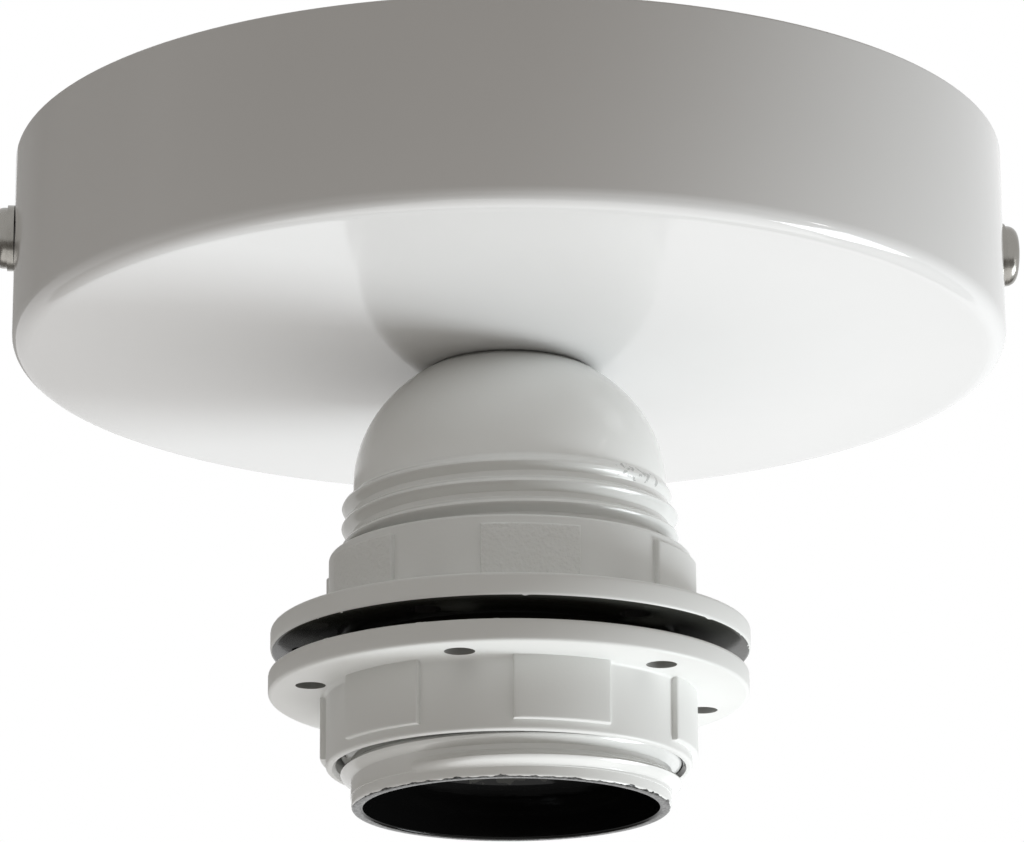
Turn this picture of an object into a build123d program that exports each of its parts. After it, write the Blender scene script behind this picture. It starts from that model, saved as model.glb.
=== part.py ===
from build123d import *
import os
from math import asin, cos, degrees, radians, sin, sqrt

# Ceiling lamp holder: a painted steel ceiling rose with an E27 shade-ring lamp holder under it.
# Millimetres, +Z up. The origin is the middle of the ceiling plane, so everything hangs below z = 0.
# Angles on the round pieces are measured from the front (-Y) towards +X.

# Ceiling rose
rose_radius = 60.0
rose_height = 24.6
rose_wall = 1.2
rose_edge_radius = 2.2
rim_round = 0.3

# Side screws that hold the rose to its bracket
side_screw_depth = 9.8
side_shank_radius = 1.95
side_shank_length = 8.0
side_head_radius = 3.7
side_head_height = 1.7
side_washer_radius = 4.0
side_washer_thickness = 0.8
cross_recess_length = 3.8
cross_recess_width = 0.9
cross_recess_depth = 1.0

# Mounting bracket, one folded strip
bracket_width = 15.0
bracket_thickness = 1.5
bracket_bend_radius = 1.2
bracket_tab_height = 16.5
bracket_tab_corner = 3.0
bracket_wall_gap = 0.35
bracket_cable_radius = 6.0
slot_centre = 32.0
slot_length = 22.0
slot_width = 4.6

# Earth connection on the bracket
earth_place = 13.5
earth_shank_radius = 1.9
earth_head_radius = 3.4
earth_head_height = 2.2
earth_tag_radius = 3.8
earth_tag_thickness = 0.8
earth_tag_neck = 5.0
earth_barrel_radius = 1.7
earth_barrel_bore = 1.1
earth_barrel_length = 6.0
driver_slot_width = 0.8
driver_slot_depth = 0.7

# Threaded nipple with its nut and toothed washer
nipple_radius = 5.0
nipple_bore_radius = 3.6
nipple_rise = 2.4
nut_across_flats = 14.0
nut_height = 3.5
nut_chamfer = 0.5
tooth_washer_radius = 8.6
tooth_washer_thickness = 0.8
tooth_count = 10
tooth_gap_width = 1.1
tooth_gap_depth = 1.5

# Terminal block lying in the rose
block_pole_pitch = 10.0
block_poles = 2
block_length = 17.0
block_deck_height = 9.0
block_end_margin = 4.6
block_tower_radius = 3.1
block_tower_height = 4.0
block_screw_spacing = 9.0
block_side_offset = 6.0
block_edge_distance = 28.0
block_turn = 12.0
block_sleeve_radius = 2.6
block_sleeve_bore = 1.6
block_sleeve_inset = 1.2
block_wire_height = 5.0
block_screw_radius = 1.4
block_screw_sink = 1.0
block_fixing_radius = 1.6

# Dome of the lamp holder
dome_radius = 18.8
dome_top_radius = 6.4
dome_drop = 15.6
dome_collar = 2.2
dome_wall = 2.3
dome_boss_radius = 9.6
dome_boss_length = 9.4
bush_radius = 7.0
bush_cover = 2.2
spigot_radius = 17.1
spigot_bore_radius = 15.3
spigot_length = 6.0
dome_lip_radius = 14.2
dome_lip_thickness = 1.6

# Skirt of the lamp holder; the barrel that the shade rings screw along is modelled to its thread crests
skirt_length = 37.3
thread_crest_radius = 20.2
thread_relief_radius = 19.1
thread_relief_length = 0.7
thread_end_chamfer = 0.6
lip_radius = 18.9
lip_length = 1.4
lip_round = 0.35
mouth_radius = 17.5
shroud_length = 6.0
ledge_thickness = 2.0
skirt_bore_radius = 17.2

# Lamp socket (E27 cap) moulded inside the skirt
socket_radius = 13.3
socket_wall = 1.9
socket_thread_length = 12.2
socket_chamber_radius = 14.0
socket_window_width = 7.0
socket_window_height = 13.5
socket_lead_in = 0.8

# Contact carrier and the parts on it
carrier_radius = 15.1
carrier_thickness = 3.5
carrier_rib_width = 2.0
carrier_rib_length = 20.0
carrier_rib_height = 5.0
contact_offset = 10.0
post_length = 6.5
post_width = 7.0
post_height = 7.5
post_wire_radius = 1.4
post_screw_radius = 1.5
post_screw_head_radius = 2.1
post_screw_head_height = 1.4
post_screw_sink = 3.2
rivet_radius = 1.2
rivet_head_radius = 1.9
rivet_head_height = 0.8
strip_width = 5.0
strip_thickness = 0.5
strip_float = 0.35
strip_hole_radius = 1.6
centre_foot_end = 12.3
centre_tongue_drop = 2.6
centre_tongue_past = 2.2
side_leg_radius = 13.6
side_leg_length = 11.0
side_leg_bump = 0.7

# Shade rings
ring_flange_radius = 28.6
ring_flange_thickness = 2.8
ring_hub_radius = 21.7
ring_hub_length = 8.7
ring_bore_radius = 20.55
ring_panel_height = 0.7
ring_panel_count = 6
ring_panel_span = 30.6
ring_panel_setback = 1.2
ring_hole_radius = 1.8
ring_hole_circle = 24.3
ring_edge_round = 0.5
ring_root_fillet = 0.5
ring_end_chamfer = 0.4
upper_ring_drop = 18.4
ring_gap = 2.55
upper_panel_start = -13.2
lower_panel_start = -2.8
lower_ring_slack = 0.24

# Clearances
hole_clearance = 0.25
thread_clearance = 0.05
pocket_clearance = 0.05

# Places worked out from the sizes above
rose_floor_z = rose_wall - rose_height
rose_inner_radius = rose_radius - rose_wall
dome_centre_z = -rose_height - dome_drop
dome_rise = dome_drop / sqrt(1 - (dome_top_radius / dome_radius) ** 2)
dome_boss_z = -rose_height - dome_boss_length
seam_z = dome_centre_z - dome_collar
mouth_z = seam_z - skirt_length
ledge_z = mouth_z + shroud_length
lip_seat_z = seam_z - dome_lip_thickness
carrier_top_z = lip_seat_z
carrier_base_z = carrier_top_z - carrier_thickness
socket_chamber_z = ledge_z + socket_thread_length
upper_face_z = seam_z - upper_ring_drop
lower_face_z = upper_face_z - ring_gap
strip_top_z = carrier_base_z - strip_float
strip_base_z = strip_top_z - strip_thickness
rivet_head_z = strip_base_z - strip_float


def rod(radius, low, high, x=0.0, y=0.0):
    """A cylinder about a vertical line, from one height to another."""
    return Pos(x, y, low) * Cylinder(radius, high - low, align=(Align.CENTER, Align.CENTER, Align.MIN))


def tube(radius, bore, low, high, x=0.0, y=0.0):
    """A vertical tube from one height to another."""
    return rod(radius, low, high, x, y) - rod(bore, low - 1, high + 1, x, y)


def slab(length, width, low, high, x=0.0, y=0.0):
    """A box centred on a vertical line, from one height to another."""
    return Pos(x, y, low) * Box(length, width, high - low, align=(Align.CENTER, Align.CENTER, Align.MIN))


def radial_rod(radius, near, far, height):
    """A cylinder along +X between two distances from the axis."""
    low_end = (Align.CENTER, Align.CENTER, Align.MIN)
    return Pos(near, 0, height) * Rot(0, 90, 0) * Cylinder(radius, far - near, align=low_end)


def from_x_axis(front_angle):
    """An angle measured from the front, as it is measured from +X."""
    return front_angle - 90


def both_sides(shape):
    """The two copies of a side fixing, on the line of the two side screws."""
    return [Rot(0, 0, turn) * shape for turn in (0, 180)]


def make_ceiling_rose():
    cup = rod(rose_radius, -rose_height, 0)
    cup = fillet(cup.edges().sort_by(Axis.Z)[0], rose_edge_radius)
    hollow = rod(rose_inner_radius, rose_floor_z, 1)
    hollow = fillet(hollow.edges().sort_by(Axis.Z)[0], rose_edge_radius - rose_wall)
    cup -= hollow
    cup = fillet(cup.edges().group_by(Axis.Z)[-1], rim_round)
    cup -= rod(nipple_radius + hole_clearance, -rose_height - 1, rose_floor_z + 1)
    side_hole = radial_rod(side_shank_radius + hole_clearance, rose_inner_radius - 3, rose_radius + 3,
                           -side_screw_depth)
    for hole in both_sides(side_hole):
        cup -= hole
    return cup


def make_mounting_bracket():
    reach = sqrt(rose_inner_radius ** 2 - (bracket_width / 2) ** 2) - bracket_wall_gap
    outer = Box(2 * reach, bracket_width, bracket_tab_height, align=(Align.CENTER, Align.CENTER, Align.MAX))
    inner = Pos(0, 0, -bracket_thickness) * Box(2 * (reach - bracket_thickness), bracket_width + 2,
                                                bracket_tab_height, align=(Align.CENTER, Align.CENTER, Align.MAX))
    inner_bends = inner.edges().filter_by(Axis.Y).group_by(Axis.Z)[-1]
    inner = fillet(inner_bends, bracket_bend_radius)
    outer_bends = outer.edges().filter_by(Axis.Y).group_by(Axis.Z)[-1]
    outer = fillet(outer_bends, bracket_bend_radius + bracket_thickness)
    strip = outer - inner
    corners = strip.edges().filter_by(Axis.X).group_by(Axis.Z)[0]
    strip = fillet(corners, bracket_tab_corner)
    strip -= rod(bracket_cable_radius, -bracket_thickness - 1, 1)
    strip -= rod(earth_shank_radius + thread_clearance, -bracket_thickness - 1, 1, earth_place)
    slot = extrude(SlotOverall(slot_length, slot_width), 3 * bracket_thickness, both=True)
    for side in (-1, 1):
        strip -= Pos(side * slot_centre, 0, 0) * slot
    tapped = radial_rod(side_shank_radius + thread_clearance, reach - 3 * bracket_thickness, reach + 1,
                        -side_screw_depth)
    strip -= tapped
    strip -= Rot(0, 0, 180) * tapped
    return strip


def cross_recess(depth):
    """The cross-shaped driver recess, opening towards +Z at the origin."""
    bar = Box(cross_recess_length, cross_recess_width, 2 * depth)
    return bar + Rot(0, 0, 90) * bar


def make_side_screw():
    """One round-headed screw along +X, its head outside the rose."""
    seat = rose_radius + side_washer_thickness
    head = Cylinder(side_head_radius, side_head_height, align=(Align.CENTER, Align.CENTER, Align.MIN))
    head = fillet(head.edges().group_by(Axis.Z)[-1], side_head_height * 0.75)
    head -= Pos(0, 0, side_head_height) * cross_recess(cross_recess_depth)
    shank = rod(side_shank_radius, -side_shank_length, 0)
    shank = chamfer(shank.edges().group_by(Axis.Z)[0], 0.4)
    return Pos(seat, 0, -side_screw_depth) * Rot(0, 90, 0) * (head + shank)


def make_side_washer():
    seat = rose_radius + side_washer_thickness
    disc = radial_rod(side_washer_radius, rose_radius, seat, -side_screw_depth)
    return disc - radial_rod(side_shank_radius + hole_clearance, rose_radius - 1, seat + 1, -side_screw_depth)


def make_earth_screw():
    seat = -bracket_thickness - earth_tag_thickness
    head = rod(earth_head_radius, seat - earth_head_height, seat)
    head = chamfer(head.edges().group_by(Axis.Z)[0], 0.6)
    head -= slab(3 * earth_head_radius, driver_slot_width, seat - earth_head_height - 1,
                 seat - earth_head_height + driver_slot_depth)
    screw = head + rod(earth_shank_radius, seat, 0)
    return Pos(earth_place, 0, 0) * screw


def make_earth_tag():
    top = -bracket_thickness
    base = top - earth_tag_thickness
    ring = rod(earth_tag_radius, base, top)
    neck = slab(2 * earth_barrel_radius, earth_tag_neck, base, top, 0, earth_tag_radius + earth_tag_neck / 2 - 1)
    start = earth_tag_radius + earth_tag_neck - 2
    barrel_height = top - earth_barrel_radius
    barrel = Pos(0, start, barrel_height) * Rot(-90, 0, 0) * (
        rod(earth_barrel_radius, 0, earth_barrel_length) - rod(earth_barrel_bore, -1, earth_barrel_length + 1))
    tag = ring + neck + barrel
    tag -= rod(earth_shank_radius + hole_clearance, base - 1, top + 1)
    return Pos(earth_place, 0, 0) * tag


def make_threaded_nipple():
    top = rose_floor_z + tooth_washer_thickness + nut_height + nipple_rise
    low = dome_boss_z + 1
    pipe = tube(nipple_radius, nipple_bore_radius, low, top)
    return chamfer(pipe.edges().group_by(Axis.Z)[0] + pipe.edges().group_by(Axis.Z)[-1], 0.4)


def make_lock_washer():
    low = rose_floor_z
    disc = tube(tooth_washer_radius, nipple_radius + hole_clearance, low, low + tooth_washer_thickness)
    gap = slab(tooth_gap_depth * 2, tooth_gap_width, low - 1, low + 2, tooth_washer_radius)
    for step in range(tooth_count):
        disc -= Rot(0, 0, step * 360 / tooth_count) * gap
    return disc


def make_nipple_nut():
    low = rose_floor_z + tooth_washer_thickness
    sketch = RegularPolygon(nut_across_flats / 2, 6, major_radius=False)
    nut = Pos(0, 0, low) * extrude(sketch, nut_height)
    corner = nut_across_flats / 2 / cos(radians(30))
    limit = rod(corner, low, low + nut_height)
    limit = chamfer(limit.edges(), nut_chamfer)
    nut = nut & limit
    return nut - rod(nipple_radius + thread_clearance, low - 1, low + nut_height + 1)


def on_block(shape):
    """Puts a terminal-block piece, made about the origin, on the floor of the rose."""
    return Pos(block_side_offset, block_edge_distance - rose_radius, rose_floor_z) * Rot(0, 0, block_turn) * shape


def pole_places():
    """The cross position of each pole of the terminal block."""
    return [(index - (block_poles - 1) / 2) * block_pole_pitch for index in range(block_poles)]


def screw_places():
    """The position of every clamping screw on the terminal block."""
    return [(x, side * block_screw_spacing / 2) for x in pole_places() for side in (-1, 1)]


def make_terminal_block_body():
    width = (block_poles - 1) * block_pole_pitch + 2 * block_end_margin
    body = slab(width, block_length, 0, block_deck_height)
    body = fillet(body.edges().filter_by(Axis.Z), 1.0)
    for x, y in screw_places():
        body += rod(block_tower_radius, block_deck_height - 1, block_deck_height + block_tower_height, x, y)
    for x, y in screw_places():
        body -= rod(block_screw_radius + hole_clearance, block_wire_height, 2 * block_deck_height, x, y)
    for x in pole_places():
        bore = Pos(x, 0, block_wire_height) * Rot(90, 0, 0) * Cylinder(block_sleeve_radius + pocket_clearance,
                                                                       block_length + 2)
        body -= bore
    body -= rod(block_fixing_radius, -1, block_deck_height + 1)
    return on_block(body)


def make_terminal_block_sleeves():
    length = block_length - 2 * block_sleeve_inset
    sleeves = []
    for x in pole_places():
        sleeve = Cylinder(block_sleeve_radius, length) - Cylinder(block_sleeve_bore, length + 2)
        sleeve = Pos(x, 0, block_wire_height) * Rot(90, 0, 0) * sleeve
        for y in (-block_screw_spacing / 2, block_screw_spacing / 2):
            sleeve -= rod(block_screw_radius + thread_clearance, block_wire_height, block_deck_height, x, y)
        sleeves.append(on_block(sleeve))
    return sleeves


def make_terminal_block_screws():
    top = block_deck_height + block_tower_height - block_screw_sink
    screw = rod(block_screw_radius, block_wire_height + block_sleeve_bore * 0.5, top)
    screw -= slab(3 * block_screw_radius, 0.6, top - driver_slot_depth, top + 1)
    return [on_block(Pos(x, y, 0) * screw) for x, y in screw_places()]


def half_oval(radius, rise, low, high):
    """A dome-shaped solid of revolution: a cylinder up to the oval's centre and part of the oval above it."""
    turn = degrees(asin((high - dome_centre_z) / rise))
    curve = Plane.XZ * EllipticalCenterArc((0, dome_centre_z), radius, rise, start_angle=0, arc_size=turn)
    outline = curve + Polyline(curve @ 1, (0, 0, high), (0, 0, low), (radius, 0, low), curve @ 0)
    return revolve(make_face(outline), Axis.Z, 360)


def make_holder_dome():
    shell = half_oval(dome_radius, dome_rise, seam_z, -rose_height)
    spigot_low = seam_z - spigot_length
    shell += rod(spigot_radius, spigot_low, seam_z + 1)
    cavity_top = -rose_height - dome_wall
    cavity = half_oval(dome_radius - dome_wall, dome_rise - dome_wall, seam_z, cavity_top)
    cavity -= rod(dome_boss_radius, dome_boss_z, 0)
    shell -= cavity
    shell -= rod(dome_lip_radius, lip_seat_z - 1, seam_z + 0.5)
    shell -= rod(spigot_bore_radius, spigot_low - 1, lip_seat_z)
    shell -= rod(bush_radius + pocket_clearance, dome_boss_z - 1, -rose_height - bush_cover)
    return shell - rod(nipple_radius + hole_clearance, dome_boss_z, 0)


def make_dome_bush():
    bush = tube(bush_radius, nipple_radius + thread_clearance, dome_boss_z, -rose_height - bush_cover)
    return chamfer(bush.edges().group_by(Axis.Z)[0], 0.4)


def make_holder_skirt():
    lip_top_z = mouth_z + lip_length
    barrel = rod(thread_crest_radius, lip_top_z, seam_z - thread_relief_length)
    barrel = chamfer(barrel.edges().filter_by(GeomType.CIRCLE), thread_end_chamfer)
    lip = rod(lip_radius, mouth_z, lip_top_z)
    lip = fillet(lip.edges().group_by(Axis.Z)[0], lip_round)
    body = barrel + lip + rod(thread_relief_radius, lip_top_z, seam_z)
    socket_outer = socket_radius + socket_wall
    body -= tube(skirt_bore_radius, socket_outer, ledge_z + ledge_thickness, carrier_base_z)
    body -= rod(skirt_bore_radius, carrier_base_z, seam_z + 1)
    shroud = rod(mouth_radius, mouth_z, ledge_z)
    body -= shroud + rod(mouth_radius, mouth_z - 1, mouth_z)
    body -= rod(socket_radius, ledge_z - 1, socket_chamber_z)
    body -= rod(socket_chamber_radius, socket_chamber_z, carrier_base_z + 1)
    lead_in = Pos(0, 0, ledge_z) * Cone(socket_radius + socket_lead_in, socket_radius, socket_lead_in,
                                        align=(Align.CENTER, Align.CENTER, Align.MIN))
    body -= lead_in
    window_low = carrier_base_z - socket_window_height
    window_far = (socket_outer + skirt_bore_radius) / 2
    window_near = socket_radius - socket_wall
    body -= slab(window_far - window_near, socket_window_width, window_low, carrier_base_z + 1,
                 -(window_far + window_near) / 2)
    return body


def make_contact_carrier():
    disc = rod(carrier_radius, carrier_base_z, carrier_top_z)
    rib = slab(carrier_rib_width, carrier_rib_length, carrier_top_z - 1, carrier_top_z + carrier_rib_height)
    rib = fillet(rib.edges().filter_by(Axis.X).group_by(Axis.Z)[-1], 2.0)
    disc += rib
    for side in (-1, 1):
        disc -= rod(rivet_radius + thread_clearance, carrier_base_z - 1, carrier_top_z + 1, side * contact_offset)
    return disc


def make_terminal_posts():
    post = slab(post_length, post_width, carrier_top_z, carrier_top_z + post_height)
    post = fillet(post.edges().filter_by(Axis.Z), 0.6)
    post -= Pos(0, 0, carrier_top_z + post_height * 0.4) * Rot(90, 0, 0) * Cylinder(post_wire_radius,
                                                                                  post_width + 2)
    post -= rod(post_screw_radius + thread_clearance, carrier_top_z + post_height * 0.4,
                carrier_top_z + post_height + 1)
    return [Pos(side * contact_offset, 0, 0) * post for side in (-1, 1)]


def make_post_screws():
    seat = carrier_top_z + post_height
    head = rod(post_screw_head_radius, seat, seat + post_screw_head_height)
    head = chamfer(head.edges().group_by(Axis.Z)[-1], 0.3)
    head -= slab(3 * post_screw_head_radius, driver_slot_width, seat + post_screw_head_height - driver_slot_depth,
                 seat + 2 * post_screw_head_height)
    screw = head + rod(post_screw_radius, seat - post_screw_sink, seat)
    return [Pos(side * contact_offset, 0, 0) * screw for side in (-1, 1)]


def make_contact_rivets():
    rivet = rod(rivet_radius, rivet_head_z, carrier_top_z)
    head = rod(rivet_head_radius, rivet_head_z - rivet_head_height, rivet_head_z)
    head = chamfer(head.edges().group_by(Axis.Z)[0], 0.4)
    return [Pos(side * contact_offset, 0, 0) * (rivet + head) for side in (-1, 1)]


def bent_strip(points, bend):
    """A spring strip of constant thickness that follows a line in the XZ plane."""
    line = FilletPolyline(*points, radius=bend)
    blade = trace(line, strip_thickness)
    return extrude(Plane.XZ * blade, strip_width / 2, both=True)


def make_centre_contact():
    middle = (strip_top_z + strip_base_z) / 2
    knee = contact_offset - rivet_head_radius - 1.0
    tip = middle - centre_tongue_drop
    strip = bent_strip([(centre_foot_end, middle), (knee, middle), (0.6, tip),
                        (-centre_tongue_past, tip + 0.5)], 0.8)
    return strip - rod(strip_hole_radius, strip_base_z - 1, strip_top_z + 1, contact_offset)


def make_side_contact():
    middle = (strip_top_z + strip_base_z) / 2
    leg = -(side_leg_radius - strip_thickness / 2)
    low = middle - side_leg_length
    strip = bent_strip([(-contact_offset + rivet_head_radius + 0.6, middle), (leg, middle),
                        (leg, low + 3.0), (leg + side_leg_bump, low + 1.2), (leg, low)], 0.45)
    return strip - rod(strip_hole_radius, strip_base_z - 1, strip_top_z + 1, -contact_offset)


def ring_panel(start):
    """One raised grip panel on a ring hub, from the flange up to the setback."""
    wedge_reach = 2 * ring_hub_radius
    corners = [(wedge_reach * cos(radians(a)), wedge_reach * sin(radians(a)))
               for a in (start, start + ring_panel_span / 2, start + ring_panel_span)]
    wedge = extrude(make_face(Polyline((0, 0), *corners, (0, 0))), ring_hub_length - ring_panel_setback)
    pad = tube(ring_hub_radius + ring_panel_height, ring_hub_radius - 0.4, 0, ring_hub_length - ring_panel_setback)
    return pad & wedge


def make_shade_ring(panel_start):
    """A ring nut with its clamping face down at -flange thickness and its hub rising from z = 0."""
    flange = rod(ring_flange_radius, -ring_flange_thickness, 0)
    flange = fillet(flange.edges().filter_by(GeomType.CIRCLE), ring_edge_round)
    hub = rod(ring_hub_radius, -1, ring_hub_length)
    hub = chamfer(hub.edges().group_by(Axis.Z)[-1], ring_end_chamfer)
    ring = flange + hub
    inner_corner = ring.edges().filter_by(GeomType.CIRCLE).filter_by(
        lambda edge: abs(edge.radius - ring_hub_radius) < 0.01 and abs(edge.center().Z) < 0.01)
    ring = fillet(inner_corner, ring_root_fillet)
    first = from_x_axis(panel_start)
    for step in range(ring_panel_count):
        ring += ring_panel(first + step * 360 / ring_panel_count)
    recess_middle = first + ring_panel_span / 2 + 180 / ring_panel_count
    for step in range(ring_panel_count):
        turn = radians(recess_middle + step * 360 / ring_panel_count)
        ring -= rod(ring_hole_radius, -ring_flange_thickness - 1, 1, ring_hole_circle * cos(turn),
                    ring_hole_circle * sin(turn))
    bore = rod(ring_bore_radius, -ring_flange_thickness - 1, ring_hub_length + 1)
    flare = ring_end_chamfer + ring_bore_radius
    bore += Pos(0, 0, ring_hub_length - ring_end_chamfer) * Cone(
        ring_bore_radius, flare, ring_end_chamfer, align=(Align.CENTER, Align.CENTER, Align.MIN))
    return ring - bore


def make_upper_ring():
    return Pos(0, 0, upper_face_z + ring_flange_thickness) * make_shade_ring(upper_panel_start)


def make_lower_ring():
    ring = make_shade_ring(180 - lower_panel_start - ring_panel_span)
    return Pos(-lower_ring_slack, 0, lower_face_z - ring_flange_thickness) * Rot(180, 0, 0) * ring


os.makedirs("parts", exist_ok=True)

nodes = {
    "ceiling_rose": make_ceiling_rose(),
    "mounting_bracket": make_mounting_bracket(),
    "side_screws": both_sides(make_side_screw()),
    "side_screw_washers": both_sides(make_side_washer()),
    "earth_screw": make_earth_screw(),
    "earth_tag": make_earth_tag(),
    "threaded_nipple": make_threaded_nipple(),
    "lock_washer": make_lock_washer(),
    "nipple_nut": make_nipple_nut(),
    "terminal_block_body": make_terminal_block_body(),
    "terminal_block_sleeves": make_terminal_block_sleeves(),
    "terminal_block_screws": make_terminal_block_screws(),
    "holder_dome": make_holder_dome(),
    "dome_bush": make_dome_bush(),
    "holder_skirt": make_holder_skirt(),
    "contact_carrier": make_contact_carrier(),
    "terminal_posts": make_terminal_posts(),
    "post_screws": make_post_screws(),
    "contact_rivets": make_contact_rivets(),
    "centre_contact": make_centre_contact(),
    "side_contact": make_side_contact(),
    "upper_ring": make_upper_ring(),
    "lower_ring": make_lower_ring(),
}

for name, shape in nodes.items():
    if isinstance(shape, list):
        shape = Compound(children=[solid for piece in shape for solid in piece.solids()])
    shape.label = name
    export_step(shape, f"parts/{name}.step")
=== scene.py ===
"""Dresses the ceiling lamp holder: a white ceiling rose with a shade-ring lamp holder hanging under it."""

from __future__ import annotations

import logging
import math
from dataclasses import dataclass, field
from enum import Enum

import bmesh
import bpy
from mathutils import Matrix, Vector

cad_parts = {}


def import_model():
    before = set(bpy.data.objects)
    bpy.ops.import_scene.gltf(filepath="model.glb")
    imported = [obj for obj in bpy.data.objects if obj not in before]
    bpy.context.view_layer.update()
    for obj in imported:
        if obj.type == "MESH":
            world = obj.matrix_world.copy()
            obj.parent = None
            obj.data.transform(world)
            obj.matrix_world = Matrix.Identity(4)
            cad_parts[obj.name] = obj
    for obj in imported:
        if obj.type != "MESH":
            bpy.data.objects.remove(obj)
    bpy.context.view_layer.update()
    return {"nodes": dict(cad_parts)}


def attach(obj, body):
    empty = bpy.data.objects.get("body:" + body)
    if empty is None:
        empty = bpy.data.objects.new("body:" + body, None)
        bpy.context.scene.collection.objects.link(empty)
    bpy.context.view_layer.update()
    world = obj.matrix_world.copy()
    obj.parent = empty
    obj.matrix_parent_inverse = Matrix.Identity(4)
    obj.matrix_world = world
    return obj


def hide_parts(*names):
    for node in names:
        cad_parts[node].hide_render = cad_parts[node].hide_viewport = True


LOG = logging.getLogger("lamp_holder")
MM = 0.001
FULL_TURN = 2 * math.pi
Outline = list[tuple[float, float]]
Colour = tuple[float, float, float]
Span = tuple[float, float]
Socket = bpy.types.NodeSocket
BMesh = bmesh.types.BMesh
SHARP_ANGLE = math.radians(32.0)
PEG_SIDES = 32
MERGE_DISTANCE = 1e-4


class Body(Enum):
    """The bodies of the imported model."""

    HOLDER = "holder_body"
    UPPER_RING = "upper_ring"
    LOWER_RING = "lower_ring"
    CENTRE_CONTACT = "centre_contact"
    SIDE_CONTACT = "side_contact"


class Slot(Enum):
    """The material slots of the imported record."""

    STEEL_PAINT = "white_painted_steel"
    ZINC = "zinc_plated_steel"
    NICKEL = "nickel_plated_steel"
    TIN = "tinned_brass"
    BRASS = "brass"
    POLYAMIDE = "natural_polyamide"
    HOLDER_PAINT = "white_painted_bakelite"
    RING_PAINT = "white_painted_ring"
    BAKELITE = "black_bakelite"


def around(front_angle: float) -> float:
    """Turns an angle measured from the front towards +X, in degrees, into radians from +X."""
    return math.radians(front_angle - 90)


# Finishes


PLAIN_SPECULAR = 0.5


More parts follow.
